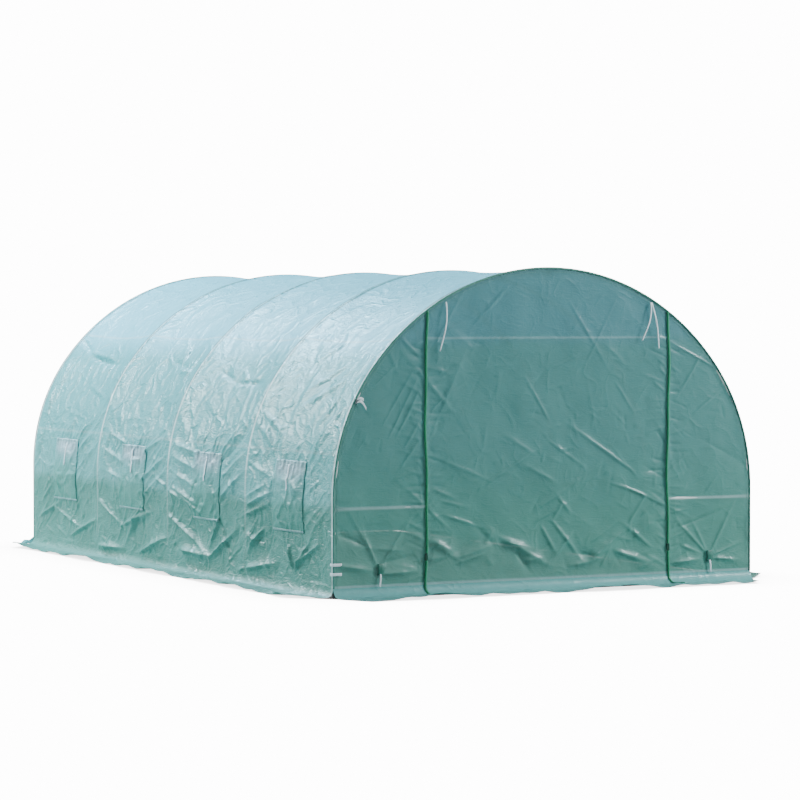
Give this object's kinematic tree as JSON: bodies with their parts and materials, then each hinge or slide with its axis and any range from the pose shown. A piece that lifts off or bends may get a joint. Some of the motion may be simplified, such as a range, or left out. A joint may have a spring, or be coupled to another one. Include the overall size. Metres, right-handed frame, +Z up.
{
  "type": "polytunnel greenhouse",
  "caption": "Walk-in tunnel greenhouse: round-topped steel hoops and rails under a green film cover with a zipped roll-up door, side windows with flaps and a ground skirt.",
  "frame": {"origin": "centre of the ground outline, on the ground", "axes": "+Z up, +Y along the tunnel away from the zipped door, +X to the right seen from the front"},
  "size_m": [3.46, 5.46, 2],
  "materials": {
    "painted_tube": "white powder-coated steel tube",
    "steel_fitting": "galvanised steel fitting",
    "cover_film": "woven reinforced polyethylene film, translucent green, glossy",
    "flap_film": "woven reinforced polyethylene film, translucent green, glossy",
    "insect_net": "white knitted insect net",
    "zip_tape": "green woven tape with a moulded coil",
    "zip_slider": "dark green enamelled slider",
    "anchor_tab": "doubled green film with a white tape",
    "white_tape": "white woven tape"
  },
  "bodies": {
    "root": {"front_hoop_legs": "painted_tube", "front_hoop_arch": "painted_tube", "hoop_2_legs": "painted_tube", "hoop_2_arch": "painted_tube", "hoop_3_legs": "painted_tube", "hoop_3_arch": "painted_tube", "hoop_4_legs": "painted_tube", "hoop_4_arch": "painted_tube", "back_hoop_legs": "painted_tube", "back_hoop_arch": "painted_tube", "ridge_fittings": "steel_fitting", "side_fittings": "steel_fitting", "foot_fittings": "steel_fitting", "ridge_rails": "painted_tube", "side_rails": "painted_tube", "base_rails": "painted_tube", "end_base_rails": "painted_tube", "front_door_posts": "painted_tube", "back_end_posts": "painted_tube", "end_side_bars": "painted_tube", "right_wall_cover": "cover_film", "left_wall_cover": "cover_film", "right_haunch_cover": "cover_film", "left_haunch_cover": "cover_film", "right_roof_cover": "cover_film", "left_roof_cover": "cover_film", "front_right_panel": "cover_film", "front_left_panel": "cover_film", "front_door_panel": "cover_film", "back_panel": "cover_film", "right_skirt": "cover_film", "left_skirt": "cover_film", "front_skirt": "cover_film", "back_skirt": "cover_film", "right_window_flaps": "flap_film", "left_window_flaps": "flap_film", "right_window_nets": "insect_net", "left_window_nets": "insect_net", "front_zips": "zip_tape", "zip_sliders": "zip_slider", "front_anchor_tabs": "anchor_tab", "right_window_tapes": "white_tape", "left_window_tapes": "white_tape", "door_tapes": "white_tape"}
  },
  "joints": []
}
